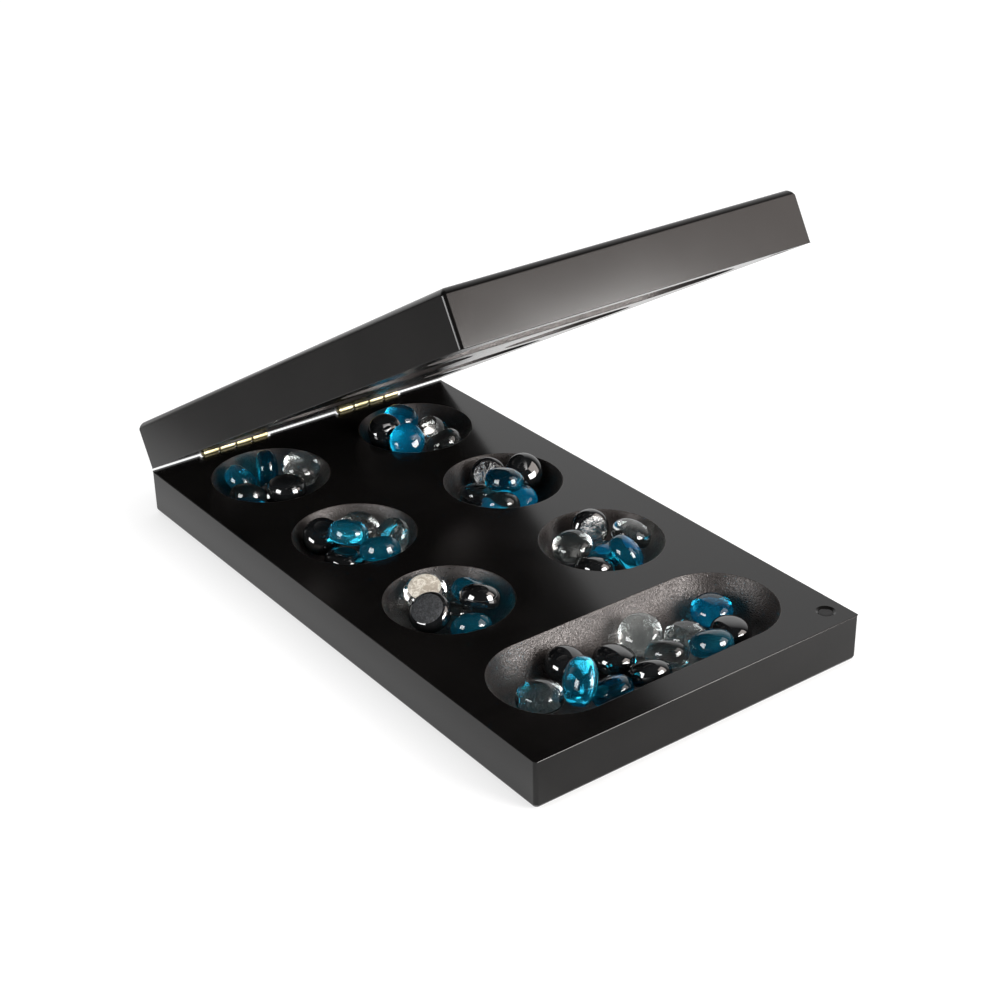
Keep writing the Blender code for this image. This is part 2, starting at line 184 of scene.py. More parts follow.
def soften(thing, angle=SMOOTH_BELOW_ANGLE):
    """Smooth shading that keeps the hard edges and leaves the flat faces flat."""
    select_only(thing)
    bpy.ops.object.shade_smooth_by_angle(angle=math.radians(angle))
    weighted = thing.modifiers.new("even_shading", "WEIGHTED_NORMAL")
    weighted.keep_sharp = True
    weighted.weight = EVEN_SHADING_WEIGHT
    bpy.ops.object.modifier_apply(modifier=weighted.name)


def new_material(name):
    material = bpy.data.materials.new(name)
    material.use_nodes = True
    return material, material.node_tree.nodes, material.node_tree.links


def noise(nodes, links, vector, scale, detail=2.0, roughness=0.5, distortion=0.0):
    texture = nodes.new("ShaderNodeTexNoise")
    texture.inputs["Scale"].default_value = scale
    texture.inputs["Detail"].default_value = detail
    texture.inputs["Roughness"].default_value = roughness
    texture.inputs["Distortion"].default_value = distortion
    links.new(vector, texture.inputs["Vector"])
    return texture.outputs["Fac"]


def ranged(nodes, links, value, from_low, from_high, to_low, to_high):
    spread = nodes.new("ShaderNodeMapRange")
    spread.inputs["From Min"].default_value = from_low
    spread.inputs["From Max"].default_value = from_high
    spread.inputs["To Min"].default_value = to_low
    spread.inputs["To Max"].default_value = to_high
    links.new(value, spread.inputs["Value"])
    return spread.outputs["Result"]


def two_tone(nodes, links, mask, first, second):
    mix = nodes.new("ShaderNodeMix")
    mix.data_type = "RGBA"
    mix.inputs[6].default_value = (*first, 1)
    mix.inputs[7].default_value = (*second, 1)
    links.new(mask, mix.inputs["Factor"])
    return mix.outputs[2]


def arithmetic(nodes, links, operation, first, second):
    """A maths node between two values, each a plain number or another node's output."""
    maths = nodes.new("ShaderNodeMath")
    maths.operation = operation
    for socket, value in zip(maths.inputs, (first, second)):
        if isinstance(value, (int, float)):
            socket.default_value = value
        else:
            links.new(value, socket)
    return maths.outputs[0]


def times(nodes, links, first, second):
    return arithmetic(nodes, links, "MULTIPLY", first, second)


def summed(nodes, links, first, *others):
    total = first
    for other in others:
        total = arithmetic(nodes, links, "ADD", total, other)
    return total


def bumped(nodes, links, shader, height, depth):
    """Raises a relief of the given depth, in metres, on the shader's surface."""
    bump = nodes.new("ShaderNodeBump")
    bump.inputs["Distance"].default_value = depth
    links.new(height, bump.inputs["Height"])
    links.new(bump.outputs["Normal"], shader.inputs["Normal"])


SPRAY_INPUTS = (("Pebble Scale", 900.0), ("Drift Scale", 30.0), ("Speck Scale", 420.0), ("Speck Amount", 0.3))
SPECK_EDGE = (0.05, 0.2)
SPECK_RISE = 0.8


def spray_group():
    """Sprayed lacquer: a fine pebble, a slow drift over the face, and specks of dust caught in the coat."""
    group = bpy.data.node_groups.new("sprayed_coat", "ShaderNodeTree")
    for name, value in SPRAY_INPUTS:
        socket = group.interface.new_socket(name, in_out="INPUT", socket_type="NodeSocketFloat")
        socket.default_value = value
    for name in ("Height", "Drift", "Specks"):
        group.interface.new_socket(name, in_out="OUTPUT", socket_type="NodeSocketFloat")
    nodes, links = group.nodes, group.links
    given, result = nodes.new("NodeGroupInput"), nodes.new("NodeGroupOutput")
    place = nodes.new("ShaderNodeTexCoord").outputs["Object"]

    pebble = nodes.new("ShaderNodeTexNoise")
    pebble.inputs["Detail"].default_value = 2.5
    links.new(place, pebble.inputs["Vector"])
    links.new(given.outputs["Pebble Scale"], pebble.inputs["Scale"])

    drift = nodes.new("ShaderNodeTexNoise")
    drift.inputs["Detail"].default_value = 3.0
    drift.inputs["Distortion"].default_value = 0.6
    links.new(place, drift.inputs["Vector"])
    links.new(given.outputs["Drift Scale"], drift.inputs["Scale"])

    speck = nodes.new("ShaderNodeTexVoronoi")
    speck.inputs["Randomness"].default_value = 1.0
    links.new(place, speck.inputs["Vector"])
    links.new(given.outputs["Speck Scale"], speck.inputs["Scale"])
    dot = ranged(nodes, links, speck.outputs["Distance"], *SPECK_EDGE, 1.0, 0.0)
    rare = nodes.new("ShaderNodeSeparateColor")
    links.new(speck.outputs["Color"], rare.inputs["Color"])
    chosen = arithmetic(nodes, links, "LESS_THAN", rare.outputs["Red"], given.outputs["Speck Amount"])
    specks = times(nodes, links, dot, chosen)

    height = summed(nodes, links, pebble.outputs["Fac"], times(nodes, links, specks, SPECK_RISE))
    links.new(height, result.inputs["Height"])
    links.new(drift.outputs["Fac"], result.inputs["Drift"])
    links.new(specks, result.inputs["Specks"])
    return group


SPRAY = spray_group()
SPECKS_PER_PEBBLE = 0.55
DRIFT_RANGE = (0.3, 0.7)
PEBBLE_RANGE = (0.34, 0.66)
SPECK_DULLNESS = 3


def lacquer(name, dark, worn, gloss, pebble_scale, pebble_depth, speck_amount, grain, index):
    """Black spray lacquer, with its own pebble, its own range of gloss, and a grain of duller dots in it."""
    material, nodes, links = new_material(name)
    shader = nodes["Principled BSDF"]
    coat = nodes.new("ShaderNodeGroup")
    coat.node_tree = SPRAY
    coat.inputs["Pebble Scale"].default_value = pebble_scale
    coat.inputs["Speck Scale"].default_value = pebble_scale * SPECKS_PER_PEBBLE
    coat.inputs["Speck Amount"].default_value = speck_amount
    tone = ranged(nodes, links, coat.outputs["Drift"], *DRIFT_RANGE, 0.0, 1.0)
    links.new(two_tone(nodes, links, tone, dark, worn), shader.inputs["Base Color"])
    pebbled = ranged(nodes, links, coat.outputs["Height"], *PEBBLE_RANGE, grain, -grain / 2)
    dull = summed(nodes, links, pebbled, times(nodes, links, coat.outputs["Specks"], SPECK_DULLNESS * grain))
    even = ranged(nodes, links, coat.outputs["Drift"], *DRIFT_RANGE, *gloss)
    links.new(summed(nodes, links, even, dull), shader.inputs["Roughness"])
    bumped(nodes, links, shader, coat.outputs["Height"], pebble_depth)
    shader.inputs["IOR"].default_value = index
    return material


FACE_LACQUER = lacquer(
    "face_lacquer", dark=(0.0032, 0.003, 0.0029), worn=(0.006, 0.0055, 0.0053), gloss=(0.15, 0.19),
    pebble_scale=1700.0, pebble_depth=0.000005, speck_amount=0.02, grain=0.01, index=1.4,
)
DISH_LACQUER = lacquer(
    "dish_lacquer", dark=(0.004, 0.0026, 0.0022), worn=(0.009, 0.0062, 0.0053), gloss=(0.34, 0.44),
    pebble_scale=1900.0, pebble_depth=0.00024, speck_amount=0.75, grain=0.24, index=1.66,
)
DISH_SHEEN = (1.0, 0.94, 0.92, 1)
DISH_LACQUER.node_tree.nodes["Principled BSDF"].inputs["Specular Tint"].default_value = DISH_SHEEN


def wall_levels(rim_radius):
    """Radius and depth of the dish's round wall, from just under its lip to the flat floor."""
    reach = rim_radius - DISH_FLOOR
    sweep = 2 * math.atan(DISH_DEPTH / reach)
    wall = reach / math.sin(sweep)
    levels = []
    for step in range(WALL_STEPS + 1):
        angle = sweep * (1 - step / WALL_STEPS)
        level = (DISH_FLOOR + wall * math.sin(angle), DISH_DEPTH - wall * (1 - math.cos(angle)))
        if level[1] > LIP[-1][1] * 2:
            levels.append(level)
    return levels


def add_dish(name, place, rim_radius, straight):
    """The shape that the router leaves: a disc, drawn down ring by ring, and parted first for a long dish."""
    levels = [(rim_radius + grow, depth) for grow, depth in LIP] + wall_levels(rim_radius)
    select_none()
    bpy.ops.mesh.primitive_circle_add(
        vertices=DISH_VERTICES, radius=levels[0][0], fill_type="NGON",
        location=(place[0], place[1], PIT_FACE + OVERRUN), rotation=(0, 0, math.pi / DISH_VERTICES),
    )
    cutter = name_it(name)
    middle = place[0]
    halves = (1, -1) if straight else (0,)

    def on_side(vertex, side, height):
        return abs(vertex.co.z - height) < SAME_PLACE and (side == 0 or side * (vertex.co.x - middle) > 0)

    height = PIT_FACE + OVERRUN
    for side in halves:
        pick(cutter, "VERT", lambda v, s=side, h=height: on_side(v, s, h))
        bpy.ops.transform.translate(value=(side * straight, 0, 0))
    radius = levels[0][0]
    for next_radius, depth in levels:
        pick(cutter, "VERT", lambda v, h=height: on_side(v, 0, h))
        bpy.ops.mesh.select_mode(type="FACE")
        bpy.ops.mesh.extrude_region_move(TRANSFORM_OT_translate={"value": (0, 0, PIT_FACE - depth - height)})
        height = PIT_FACE - depth
        for side in halves:
            pick(cutter, "VERT", lambda v, s=side, h=height: on_side(v, s, h))
            grow = next_radius / radius
            bpy.ops.transform.resize(
                value=(grow, grow, 1), center_override=(middle + side * straight, place[1], height)
            )
        radius = next_radius
    leave()
    tidy_normals(cutter)
    cutter.data.materials.append(DISH_LACQUER)
    return cutter


def copied(thing, name, move):
    """A copy with a mesh of its own, moved in its mesh."""
    twin = thing.copy()
    twin.data = thing.data.copy()
    twin.name = twin.data.name = name
    bpy.context.scene.collection.objects.link(twin)
    twin.data.transform(Matrix.Translation(move))
    return twin


def is_corner(edge):
    return abs(edge.verts[0].co.z - edge.verts[1].co.z) > EDGE_REACH


def is_round_the_face(edge):
    return min(v.co.z for v in edge.verts) > PIT_FACE - EDGE_REACH


def is_over_the_hinges(edge):
    return is_round_the_face(edge) and min(v.co.y for v in edge.verts) > HINGE_END - EDGE_REACH


def is_round_the_back(edge):
    return max(v.co.z for v in edge.verts) < board_low.z + EDGE_REACH


board = add_block("base_block", board_low, board_high)
for weight, chosen in (
    (CORNER_ROUND_SHARE, is_corner),
    (FACE_ROUND_SHARE, is_round_the_face),
    (HINGE_EDGE_SHARE, is_over_the_hinges),
    (1.0, is_round_the_back),
):
    pick(board, "EDGE", chosen)
    bpy.ops.transform.edge_bevelweight(value=weight)
leave()
rounding = board.modifiers.new("eased_edges", "BEVEL")
rounding.limit_method = "WEIGHT"
rounding.width = BACK_ROUND
rounding.segments = EDGE_SEGMENTS
rounding.profile = EDGE_PROFILE
rounding.use_clamp_overlap = False
select_only(board)
bpy.ops.object.modifier_apply(modifier=rounding.name)
board.data.materials.append(FACE_LACQUER)

first_pit = add_dish("pit_cutter", (PIT_ACROSS, PIT_ROWS_Y[0]), PIT_RADIUS, 0)
pits = [first_pit]
for row_y in PIT_ROWS_Y:
    for side in (1, -1):
        if row_y != PIT_ROWS_Y[0] or side < 0:
            move = (side * PIT_ACROSS - PIT_ACROSS, row_y - PIT_ROWS_Y[0], 0)
            pits.append(copied(first_pit, "pit_cutter_copy", move))
pits.append(add_dish("store_cutter", (0, STORE_Y), STORE_RADIUS, STORE_STRAIGHT))
combine(board, pits, "DIFFERENCE")

LEAF_LENGTH = 0.0268
HINGE_ACROSS = 0.02875
HINGE_AXIS = Vector((0, 0.1113, 0.0169))
LEAF_BOTTOM = 0.0092
LEAF_THICK = 0.0008
BARREL_RADIUS = 0.0014
# The room that the leaf has in its seat, and the barrel has at each of its ends.
SEAT_ROOM = 0.0003
BARREL_ROOM = 0.00135
seats = []
for side in (1, -1):
    across = side * HINGE_ACROSS
    half = LEAF_LENGTH / 2 + SEAT_ROOM
    low = (across - half, HINGE_END - LEAF_THICK - SEAT_ROOM, HINGE_AXIS.z - LEAF_BOTTOM - SEAT_ROOM)
    seats.append(add_block("leaf_seat", low, (across + half, HINGE_END + OVERRUN, PIT_FACE + OVERRUN)))
    half = LEAF_LENGTH / 2 + BARREL_ROOM
    deep = BARREL_RADIUS + 2 * SEAT_ROOM
    low = (across - half, HINGE_AXIS.y - deep, HINGE_AXIS.z - deep)
    seats.append(add_block("barrel_seat", low, (across + half, HINGE_END + OVERRUN, PIT_FACE + OVERRUN)))
combine(board, seats, "DIFFERENCE")

MAGNET_PLACE = (0.0559, -0.1032)
MAGNET_LIP = 0.00085
MAGNET_LIP_DEPTH = 0.00042
MAGNET_RADIUS = 0.0023
MAGNET_SINK = 0.00048
MAGNET_THICK = 0.0025
MAGNET_ROOM = 0.00005
hole_floor = PIT_FACE - MAGNET_SINK - MAGNET_THICK - SEAT_ROOM
hole = add_bar(
    "magnet_hole", (*MAGNET_PLACE, (hole_floor + PIT_FACE + OVERRUN) / 2), MAGNET_RADIUS + MAGNET_ROOM,
    PIT_FACE + OVERRUN - hole_floor,
)
# The lip's cone reaches as far above the pit face as below it.
select_none()
bpy.ops.mesh.primitive_cone_add(
    vertices=ROUND_VERTICES, radius1=MAGNET_RADIUS, radius2=MAGNET_RADIUS + 2 * MAGNET_LIP,
    depth=2 * MAGNET_LIP_DEPTH, location=(*MAGNET_PLACE, PIT_FACE),
)
combine(board, [hole, name_it("magnet_lip")], "DIFFERENCE")
tidy_normals(board)

# ---------------------------------------------------------------------------------------------------------
# Lid half. The same block from the same jig, turned face to face with the first and swung open on the hinge
# pins, so it is copied from the bottom half before either is given its place in the picture.
# ---------------------------------------------------------------------------------------------------------

OPEN_ANGLE = math.radians(30)
# How much nearer to the bottom half the lid half stands than its solid, which narrows the slit between them.
LID_SET = 0.0004
HALF_SHARP_ANGLE = 24
TO_LID = (
    Matrix.Translation(HINGE_AXIS)
    @ Matrix.Rotation(-OPEN_ANGLE, 4, "X")
    @ Matrix.Scale(-1, 4, Vector((0, 0, 1)))
    @ Matrix.Translation(-HINGE_AXIS)
)


def mirrored_into_lid(thing, name):
    """The mate of a piece of the bottom half, on the lid."""
    twin = copied(thing, name, (0, 0, 0))
    twin.data.transform(TO_LID)
    tidy_normals(twin)
    return twin


lid = mirrored_into_lid(board, "lid_half")
lid_face_normal = Vector((0, -math.sin(OPEN_ANGLE), -math.cos(OPEN_ANGLE)))
lid.data.transform(Matrix.Translation(lid_face_normal * LID_SET))
board.name = board.data.name = "base_half"
for half, node, body in ((board, "base_board", "base"), (lid, "lid_board", "lid")):
    soften(half, HALF_SHARP_ANGLE)
    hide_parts(node)
    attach(half, body)

# ---------------------------------------------------------------------------------------------------------
# Magnets. A small steel-grey disc pressed into the corner of the store end of each half, a little below the
# face, and sprayed over with the board, so only its rounded rim catches the light.
# ---------------------------------------------------------------------------------------------------------

MAGNET_LACQUER = lacquer(
    "magnet_lacquer", dark=(0.006, 0.0056, 0.0056), worn=(0.011, 0.0102, 0.0102), gloss=(0.3, 0.38),
    pebble_scale=1300.0, pebble_depth=0.00003, speck_amount=0.05, grain=0.04, index=1.33,
)
MAGNET_EDGE = 0.0001
MAGNET_EDGE_SEGMENTS = 2
MAGNET_BORDER = 0.0009
MAGNET_HOLLOW = 0.00008
magnet_top = PIT_FACE - MAGNET_SINK
magnet_middle = (*MAGNET_PLACE, magnet_top - MAGNET_THICK / 2)
magnet = add_bar("base_magnet_disc", magnet_middle, MAGNET_RADIUS, MAGNET_THICK)
pick(magnet, "EDGE", lambda e: all(abs(v.co.z - magnet_top) < SAME_PLACE for v in e.verts))
bpy.ops.mesh.bevel(offset=MAGNET_EDGE, segments=MAGNET_EDGE_SEGMENTS, affect="EDGES", clamp_overlap=False)
pick(magnet, "FACE", lambda f: f.normal.z > SQUARE_ON)
bpy.ops.mesh.inset(thickness=MAGNET_BORDER)
bpy.ops.transform.translate(value=(0, 0, -MAGNET_HOLLOW))
leave()
magnet.data.materials.append(MAGNET_LACQUER)
lid_magnet = mirrored_into_lid(magnet, "lid_magnet_disc")
for disc, node, body in ((magnet, "base_magnet", "base"), (lid_magnet, "lid_magnet", "lid")):
    soften(disc)
    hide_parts(node)
    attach(disc, body)

# ---------------------------------------------------------------------------------------------------------
# Hinges. Two small brass butt hinges. Each leaf is a stamped plate with two of the four knuckles rolled from
# its upper edge, sunk flush in the end of its half. The pin runs through all four knuckles and is peened.
# ---------------------------------------------------------------------------------------------------------

LEAF_CORNER = 0.0009
LEAF_CORNER_SEGMENTS = 6
KNUCKLES = 4
KNUCKLE_PITCH = 0.006775
KNUCKLE_GAP = 0.0005
TONGUE_INSET = 0.0002
TONGUE_OVERLAP = 0.0004
PIN_RADIUS = 0.00075
PIN_ROOM = 0.0003
BARREL_VERTICES = 56
PIN_VERTICES = 40
END_EASE = 0.0003
KNUCKLE_END_SEGMENTS = 3
PIN_END_SEGMENTS = 4
SHOULDER = 0.00195
HINGE_SHARP_ANGLE = 32

# A screw's place, from the hinge's middle and from its axis, and its hole, narrow and wide.
SCREW_ACROSS = 0.00855
SCREW_DOWN = 0.005575
SCREW_HOLE = 0.0011
COUNTERSINK = 0.002
SCREW_VERTICES = 48

# The screw itself: a thin rim, a cone down to the shank, the shank, its point, and a low crown with a slot.
HEAD_ROOM = 0.00008
HEAD_SINK = 0.00004
HEAD_RIM = 0.00012
HEAD_CONE = 0.00075
SHANK_SHARE = 0.52
SHANK_LENGTH = 0.0032
POINT_LENGTH = 0.0018
POINT_SHARE = 0.15
CROWN_BORDER = 0.00018
CROWN_RISE = 0.00004
SLOT_LOW = (-0.003, -0.0003, -0.0002)
SLOT_HIGH = (0.003, 0.001, 0.0002)
SLOT_TURN = 900

# The brass: its browner patches, its drawn lines, and how much of the wear the lines make up.
BRASS_PATCH_SCALE = 160.0
BRASS_PATCH_RANGE = (0.35, 0.7)
BRASS_LINE_SCALE = (120.0, 3200.0, 3200.0)
BRASS_LINE_DEPTH = 0.000004
BRASS_LINE_SHARE = 0.5
BRASS_WEAR_RANGE = (0.4, 1.0)


def brass_material(name, bright, dull, gloss):
    """Drawn brass: bright where it is rubbed, browner in patches, with fine lines along the barrel."""
    material, nodes, links = new_material(name)
    shader = nodes["Principled BSDF"]
    place = nodes.new("ShaderNodeTexCoord").outputs["Object"]
    patches = noise(nodes, links, place, BRASS_PATCH_SCALE, distortion=0.3)
    drawn = nodes.new("ShaderNodeMapping")
    drawn.inputs["Scale"].default_value = BRASS_LINE_SCALE
    links.new(place, drawn.inputs["Vector"])
    lines = noise(nodes, links, drawn.outputs["Vector"], 1.0)
    tone = ranged(nodes, links, patches, *BRASS_PATCH_RANGE, 0.0, 1.0)
    links.new(two_tone(nodes, links, tone, bright, dull), shader.inputs["Base Color"])
    worn = summed(nodes, links, patches, times(nodes, links, lines, BRASS_LINE_SHARE))
    links.new(ranged(nodes, links, worn, *BRASS_WEAR_RANGE, *gloss), shader.inputs["Roughness"])
    shader.inputs["Metallic"].default_value = 1.0
    bumped(nodes, links, shader, lines, BRASS_LINE_DEPTH)
    return material


BRASS = brass_material("drawn_brass", (0.5, 0.45, 0.28), (0.36, 0.3, 0.15), (0.38, 0.48))
SCREW_BRASS = brass_material("screw_brass", (0.5, 0.41, 0.22), (0.26, 0.2, 0.1), (0.3, 0.5))


def ease_ends(bar, segments):
    """Rounds the rims at both ends of a bar that lies along X."""
    pick(bar, "EDGE", lambda e: abs(e.verts[0].co.x - e.verts[1].co.x) < SAME_PLACE)
    bpy.ops.mesh.bevel(offset=END_EASE, segments=segments, affect="EDGES", clamp_overlap=False)
    leave()


def add_leaf(name, across, places):
    """A leaf in the bottom half's end, with its knuckles at the places given, counted from the left."""
    half = LEAF_LENGTH / 2
    leaf = add_block(
        name, (across - half, HINGE_END - LEAF_THICK, HINGE_AXIS.z - LEAF_BOTTOM),
        (across + half, HINGE_END, HINGE_AXIS.z - SHOULDER),
    )

    def is_lower_corner(edge):
        low_down = all(v.co.z < HINGE_AXIS.z - LEAF_BOTTOM + SAME_PLACE for v in edge.verts)
        return low_down and abs(edge.verts[0].co.y - edge.verts[1].co.y) > SAME_PLACE

    pick(leaf, "EDGE", is_lower_corner)
    bpy.ops.mesh.bevel(offset=LEAF_CORNER, segments=LEAF_CORNER_SEGMENTS, affect="EDGES", clamp_overlap=False)
    leave()
    welded = []
    for place in places:
        start = across - KNUCKLES * KNUCKLE_PITCH / 2 + place * KNUCKLE_PITCH + KNUCKLE_GAP / 2
        end = start + KNUCKLE_PITCH - KNUCKLE_GAP
        low = (start + TONGUE_INSET, HINGE_END - LEAF_THICK, HINGE_AXIS.z - SHOULDER - TONGUE_OVERLAP)
        welded.append(add_block("tongue", low, (end - TONGUE_INSET, HINGE_END, HINGE_AXIS.z)))
        knuckle_middle = ((start + end) / 2, HINGE_AXIS.y, HINGE_AXIS.z)
        knuckle = add_bar("knuckle", knuckle_middle, BARREL_RADIUS, end - start, "X", BARREL_VERTICES)
        ease_ends(knuckle, KNUCKLE_END_SEGMENTS)
        welded.append(knuckle)
    combine(leaf, welded, "UNION")

    bore_middle = (across, HINGE_AXIS.y, HINGE_AXIS.z)
    bore_length = LEAF_LENGTH + 2 * OVERRUN
    bored = [add_bar("bore", bore_middle, PIN_RADIUS + PIN_ROOM, bore_length, "X", PIN_VERTICES)]
    # The cone runs on past the leaf's face at the same slope.
    deep = 2 * LEAF_THICK
    slope = (COUNTERSINK - SCREW_HOLE) / LEAF_THICK
    for side in (1, -1):
        screw_x, screw_z = across + side * SCREW_ACROSS, HINGE_AXIS.z - SCREW_DOWN
        select_none()
        bpy.ops.mesh.primitive_cone_add(
            vertices=SCREW_VERTICES, radius1=SCREW_HOLE, radius2=SCREW_HOLE + slope * deep, depth=deep,
            location=(screw_x, HINGE_END - LEAF_THICK + deep / 2, screw_z), rotation=(-math.pi / 2, 0, 0),
        )
        bored.append(name_it("countersink"))
        screw_start = (screw_x, HINGE_END - LEAF_THICK, screw_z)
        bored.append(add_bar("screw_way", screw_start, SCREW_HOLE, OVERRUN, "Y", SCREW_VERTICES))
    combine(leaf, bored, "DIFFERENCE")
    tidy_normals(leaf)
    leaf.data.materials.clear()
    leaf.data.materials.append(BRASS)
    return leaf


def add_screw(name, across):
    """A countersunk wood screw with a slotted head, flush in its leaf."""
    centre = Vector((across, HINGE_END, HINGE_AXIS.z - SCREW_DOWN))
    rim_centre = centre - Vector((0, HEAD_SINK, 0))
    screw = add_bar(name, rim_centre, COUNTERSINK - HEAD_ROOM, HEAD_RIM, "Y", SCREW_VERTICES)
    pick(screw, "FACE", lambda f: f.normal.y < -SQUARE_ON)
    for length, share in ((HEAD_CONE, SHANK_SHARE), (SHANK_LENGTH, 1), (POINT_LENGTH, POINT_SHARE)):
        bpy.ops.mesh.extrude_region_move(TRANSFORM_OT_translate={"value": (0, -length, 0)})
        bpy.ops.transform.resize(value=(share, 1, share), center_override=centre)
    pick(screw, "FACE", lambda f: f.normal.y > SQUARE_ON)
    bpy.ops.mesh.inset(thickness=CROWN_BORDER)
    bpy.ops.transform.translate(value=(0, CROWN_RISE, 0))
    leave()
    # Each slot stopped where its own screw was tight, so no two of them line up.
    turn = Matrix.Rotation(across * SLOT_TURN, 4, "Y")
    slot = add_block("slot", SLOT_LOW, SLOT_HIGH)
    slot.data.transform(Matrix.Translation(centre) @ turn)
    combine(screw, [slot], "DIFFERENCE")
    tidy_normals(screw)
    screw.data.materials.clear()
    screw.data.materials.append(SCREW_BRASS)
    return screw


for side, hinge in ((-1, "left_hinge"), (1, "right_hinge")):
    across = side * HINGE_ACROSS
    base_leaf = add_leaf(hinge + "_base_plate", across, range(0, KNUCKLES, 2))
    mate = add_leaf(hinge + "_lid_mate", across, range(1, KNUCKLES, 2))
    lid_leaf = mirrored_into_lid(mate, hinge + "_lid_plate")
    bpy.data.objects.remove(mate)

    pin_middle = (across, HINGE_AXIS.y, HINGE_AXIS.z)
    pin = add_bar(hinge + "_rod", pin_middle, PIN_RADIUS, LEAF_LENGTH, "X", PIN_VERTICES)
    ease_ends(pin, PIN_END_SEGMENTS)
    pin.data.materials.append(SCREW_BRASS)

    for piece, node, body in (
        (base_leaf, hinge + "_base_leaf", "base"),
        (lid_leaf, hinge + "_lid_leaf", "lid"),
        (pin, hinge + "_pin", "base"),
    ):
        soften(piece, HINGE_SHARP_ANGLE)
        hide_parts(node)
        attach(piece, body)

    for number, place in ((1, -1), (2, 1)):
        screw = add_screw(f"{hinge}_base_screw_{number}", across + place * SCREW_ACROSS)
        lid_screw = mirrored_into_lid(screw, f"{hinge}_lid_screw_{number}")
        for piece, body in ((screw, "base"), (lid_screw, "lid")):
            soften(piece, HINGE_SHARP_ANGLE)
            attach(piece, body)

# ---------------------------------------------------------------------------------------------------------
# Stones. Gobs of molten glass dropped on a plate: a dome above, a full belly low down, and a flat foot that
# keeps the matt, wrinkled print of the plate. Teal, clear and black, each lying where its solid lies.
# ---------------------------------------------------------------------------------------------------------

# The stone's outline, in radii of its belly. A bulge is its curve's power: 2 is an ellipse, more is fuller.
STONE_STEPS = 44
BELLY_SHARE = 0.42
STONE_RISE = 1.186
UPPER_BULGE = 2.4
LOWER_BULGE = 2.65
UPPER_STEPS = 12
LOWER_STEPS = 8
UPPER_CROWDING = 1.25
FOOT_SHARE = 0.52
FOOT_FLAT = 0.55
FOOT_TURN = (0.94, 0.006)
FOOT_PRINT_TOP = 0.075
STONE_WELD = 0.00001

# How the stones differ from their solids: a little smaller, a little out of round, each turned its own way.
STONE_CLEAR = 0.985
OUT_OF_ROUND = 0.03
TURN_STEP = 2.4


def drop_profile():
    """Half of the stone's outline, foot first, for a belly of radius 1."""
    belly = BELLY_SHARE * STONE_RISE
    outline = [(0.0, 0.0), (FOOT_SHARE * FOOT_FLAT, 0.0), (FOOT_SHARE * FOOT_TURN[0], FOOT_TURN[1])]
    foot_drop = (1 - FOOT_SHARE ** LOWER_BULGE) ** (1 / LOWER_BULGE)
    for step in range(1, LOWER_STEPS + 1):
        share = step / LOWER_STEPS
        rise = foot_drop * math.cos(share * math.pi / 2)
        radius = (1 - rise ** LOWER_BULGE) ** (1 / LOWER_BULGE)
        outline.append((radius, belly * (1 - rise / foot_drop) if share < 1 else belly))
    for step in range(1, UPPER_STEPS):
        rise = math.sin(step / UPPER_STEPS * math.pi / 2) ** UPPER_CROWDING
        outline.append(((1 - rise ** UPPER_BULGE) ** (1 / UPPER_BULGE), belly + rise * (STONE_RISE - belly)))
    outline.append((0.0, STONE_RISE))
    return outline


def make_drop():
    """One point, drawn along the outline and spun round."""
    outline = drop_profile()
    select_none()
    bpy.ops.mesh.primitive_plane_add(size=1)
    drop = name_it("glass_drop")
    bpy.ops.object.mode_set(mode="EDIT")
    bpy.ops.mesh.select_all(action="SELECT")
    bpy.ops.mesh.merge(type="CENTER")
    bpy.ops.mesh.select_mode(type="VERT")
    last = outline[0]
    for radius, height in outline[1:]:
        step = (radius - last[0], 0, height - last[1])
        bpy.ops.mesh.extrude_vertices_move(TRANSFORM_OT_translate={"value": step})
        last = (radius, height)
    bpy.ops.mesh.select_all(action="SELECT")
    bpy.ops.mesh.spin(steps=STONE_STEPS, angle=math.tau, center=(0, 0, 0), axis=(0, 0, 1))
    leave()
    pick(drop, "VERT", lambda v: True)
    bpy.ops.mesh.remove_doubles(threshold=STONE_WELD)
    bpy.ops.mesh.normals_make_consistent(inside=False)
    leave()
    return drop


def let_light_through(nodes, links, shader, tint):
    """Lets the light pass on through a stone, tinted, to what lies behind it."""
    passing = nodes.new("ShaderNodeBsdfTransparent")
    passing.inputs["Color"].default_value = (*tint, 1)
    either = nodes.new("ShaderNodeMixShader")
    links.new(nodes.new("ShaderNodeLightPath").outputs["Is Shadow Ray"], either.inputs["Fac"])
    links.new(shader.outputs["BSDF"], either.inputs[1])
    links.new(passing.outputs["BSDF"], either.inputs[2])
    links.new(either.outputs["Shader"], nodes["Material Output"].inputs["Surface"])


GLASS_INDEX = 1.52
GLASS_ROUGHNESS = (0.0, 0.02)
TINT_SCALE = 140.0
TINT_RANGE = (0.35, 0.65)
WAVE_SCALE = 160.0
WAVE_DEPTH = 0.00003
SEED_SCALE = 330.0
SEED_EDGE = (0.03, 0.1)
SEED_RISE = 0.12
SHADOW_LIGHT = 0.55


